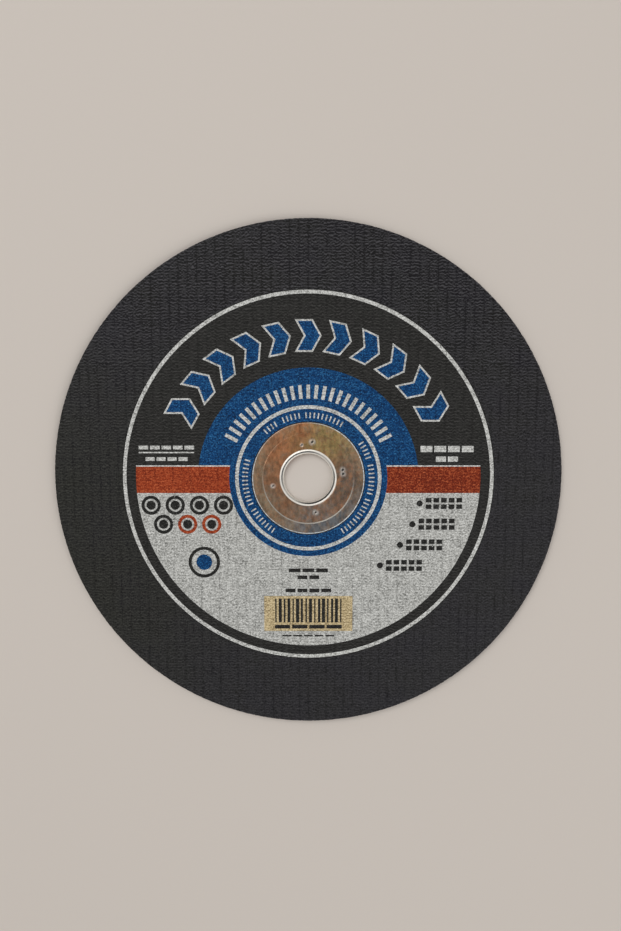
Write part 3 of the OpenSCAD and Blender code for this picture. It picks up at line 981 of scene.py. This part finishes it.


# Yellow passivated steel: cloudy brown and gold, bare where it is rubbed, with painted highlights on the lip,
# the step and the rim's edge, and painted shadow inside the lip
steelLook = dict(
    copper=(0.278, 0.140, 0.078),
    brown=(0.220, 0.154, 0.106),
    orange=(0.36, 0.150, 0.068),
    gold=(0.325, 0.238, 0.098),
    dark=(0.150, 0.116, 0.095),
    ash=(0.215, 0.180, 0.158),
    ochre=(0.205, 0.165, 0.085),
    grey=(0.160, 0.164, 0.168),
    rimTint=(0.285, 0.232, 0.158),
    # painted highlight on the lip, over rubbed metal
    rubbedLipHighlight=(0.79, 0.75, 0.68),
    # painted highlight on the step's lower arc
    stepHighlightTint=(0.34, 0.32, 0.28),
    rubbedGrey=(0.54, 0.53, 0.50),
    # painted highlight along the rim's edge, over patches of bare metal
    edge=(0.66, 0.69, 0.70),
    shadow=(0.070, 0.069, 0.064),
    # darkest painted shadow inside the lip, also the colour of the pits
    deepShadowAndPits=(0.03, 0.028, 0.025),
    # Patches of the skin: tint, place, size
    patches=(("orange", (-8, 13), 16), ("gold", (7, 19), 18), ("orange", (-2.5, 22), 7),
             ("dark", (17, -3), 15), ("ash", (3, -17), 13)),
    greyPatch=((9, -23), 25),  # on the rim alone
    mottles=(("ochre", 1.3), ("orange", 0.9)),  # tint, and how many to a millimetre
    mottleShare=0.42,
    speckShare=0.34,  # how far specks go darker and paler
    rimShare=0.55,
    # Bands round the bore: inner radius, outer radius, softness
    rimBand=(20.8, 30, 0.2),
    stepBand=(20.5, 20.84, 0.1),
    edgeBand=(25.15, 26.0, 0.15),
    lipBand=(11.0, 12.85, 0.12),
    lipShadowBand=(11.6, 12.15, 0.12),
    lipMiddle=(-0.1, 0.35, 0),  # middle of the lip's bands of painted highlight and shadow, a little off the bore's axis
    stepFade=(-9, 3),  # Y over which the step's painted highlight fades out
    faintEdgeHighlight=((-10, 22), 24),  # where the painted highlight on the rim's edge is faint
    faintShadow=(((8, 8), 8), ((-8, -8), 9)),  # where the painted shadow inside the lip is faint, and where it is deepest
    deepShadowPatch=((5.5, -10.3), 11),
    bump=0.012,
)


def radialBand(tree, away, inner, outer, soft):
    rise = ranged(tree, away, inner - soft, inner)
    fall = ranged(tree, away, outer, outer + soft, 1.0, 0.0)
    return combine(tree, "MULTIPLY", rise, fall)


# Tints of the passivated skin: patches, mottling over them, grey on part of the rim, specks over all
def skinColor(tree, onRim):
    look = steelLook
    cloud = noise(tree, millimetres(tree), 0.16, 4.0, 0.6)
    cloudy = ranged(tree, noise(tree, millimetres(tree, (1, 0.6, 1)), 0.4, 4.0, 0.6), 0.30, 0.54)
    color = blended(tree, ranged(tree, cloud, 0.40, 0.57), look["brown"], look["copper"])
    color = blended(tree, combine(tree, "MULTIPLY", onRim, look["rimShare"]), color, look["rimTint"])
    for title, centre, size in look["patches"]:
        share = combine(tree, "MULTIPLY", patch(tree, centre, size), cloudy)
        color = blended(tree, share, color, look[title])
    for title, scale in look["mottles"]:
        mottle = noise(tree, millimetres(tree), scale, 3.0, 0.7)
        color = blended(tree, ranged(tree, mottle, 0.46, 0.66, 0.0, look["mottleShare"]), color, look[title])
    grey = combine(tree, "MULTIPLY", patch(tree, *look["greyPatch"]), onRim)
    color = blended(tree, combine(tree, "MULTIPLY", grey, cloudy), color, look["grey"])
    speck = noise(tree, millimetres(tree, (1.3, 0.8, 1)), 0.45, 4.0, 0.72)
    speck = ranged(tree, speck, 0.34, 0.66, 1 - look["speckShare"], 1 + look["speckShare"])
    return blended(tree, 1.0, color, speck, kind="MULTIPLY")


def steelFinish():
    look = steelLook
    material, tree, shader = newFinish("passivatedSteel")
    inPlane = millimetres(tree, (1, 1, 0))
    away = distanceTo(tree, inPlane, (0, 0, 0))
    fromLip = distanceTo(tree, inPlane, look["lipMiddle"])
    streak = noise(tree, millimetres(tree, (1.2, 0.3, 1)), 0.5, 3.0, 0.6)
    color = skinColor(tree, radialBand(tree, away, *look["rimBand"]))
    # Rubbed metal round the staking marks; painted highlight along the step's lower arc; rubbed metal under a
    # painted highlight on the lip and at the rim's edge
    burr = combine(tree, "MULTIPLY", readValue(tree, "bright"), ranged(tree, streak, 0.35, 0.6, 0.35, 1.0))
    color = blended(tree, burr, color, look["rubbedGrey"])
    # Painted highlight on the step's slope, fading out towards +Y
    low = ranged(tree, alongAxis(tree, "Y"), *look["stepFade"], 1.0, 0.0)
    bend = radialBand(tree, away, *look["stepBand"])
    color = blended(tree, combine(tree, "MULTIPLY", bend, low), color, look["stepHighlightTint"])
    stepHighlight = combine(tree, "MULTIPLY", bend, ranged(tree, low, 0, 1, 0.55, 1.0))
    # Painted highlight on the rolled lip, over rubbed metal
    rubbedLipMask = radialBand(tree, fromLip, *look["lipBand"])
    color = blended(tree, rubbedLipMask, color, look["rubbedLipHighlight"])
    # Painted highlight along the rim's edge, patchy and faint at the upper left
    chipped = ranged(tree, noise(tree, millimetres(tree), 0.9, 2.0, 0.6), 0.36, 0.56, 0.35, 1.0)
    edgeHighlightShare = ranged(tree, patch(tree, *look["faintEdgeHighlight"]), 0, 1, 1.0, 0.2)
    edge = combine(tree, "MULTIPLY", radialBand(tree, away, *look["edgeBand"]),
                   combine(tree, "MULTIPLY", chipped, edgeHighlightShare))
    color = blended(tree, edge, color, look["edge"])
    # Painted shadow as a dark line inside the lip, deepest at the lower right, and darker colour in the
    # staking pits
    lipShadowLine = radialBand(tree, fromLip, *look["lipShadowBand"])
    faint = combine(tree, "MAXIMUM", *(patch(tree, *place) for place in look["faintShadow"]))
    shade = combine(tree, "MULTIPLY", lipShadowLine, ranged(tree, faint, 0, 1, 0.95, 0.45))
    color = blended(tree, shade, color, look["shadow"])
    deepLipShadow = combine(tree, "MULTIPLY", lipShadowLine, patch(tree, *look["deepShadowPatch"]))
    shadowAndPitShare = combine(tree, "MAXIMUM", deepLipShadow, ranged(tree, readValue(tree, "pit"), 0.1, 0.6))
    color = blended(tree, shadowAndPitShare, color, look["deepShadowAndPits"])
    wire(tree, color, shader.inputs["Base Color"])
    # Where the skin is rubbed off, and under the painted highlights of the step, lip and edge, the metal
    # scatters light
    wearAndSheen = rubbedLipMask
    for part in (stepHighlight, edge, burr):
        wearAndSheen = combine(tree, "MAXIMUM", wearAndSheen, part)
    wire(tree, ranged(tree, wearAndSheen, 0, 1, 1.0, 0.45), shader.inputs["Metallic"])
    wire(tree, ranged(tree, streak, 0.3, 0.7, 0.36, 0.52), shader.inputs["Roughness"])
    addBump(tree, shader, noise(tree, millimetres(tree), 3.0, 3.0, 0.6), look["bump"])
    return material


resin = abrasiveFinish()
for piece in bodyPieces:
    piece.data.materials.append(resin)
sheets["labelPaper"].data.materials.append(paperFinish())
for name in inkLooks:
    sheets[name].data.materials.append(inkFinish(name))
centreRing.data.materials.append(steelFinish())
print("stage 5: finishes")
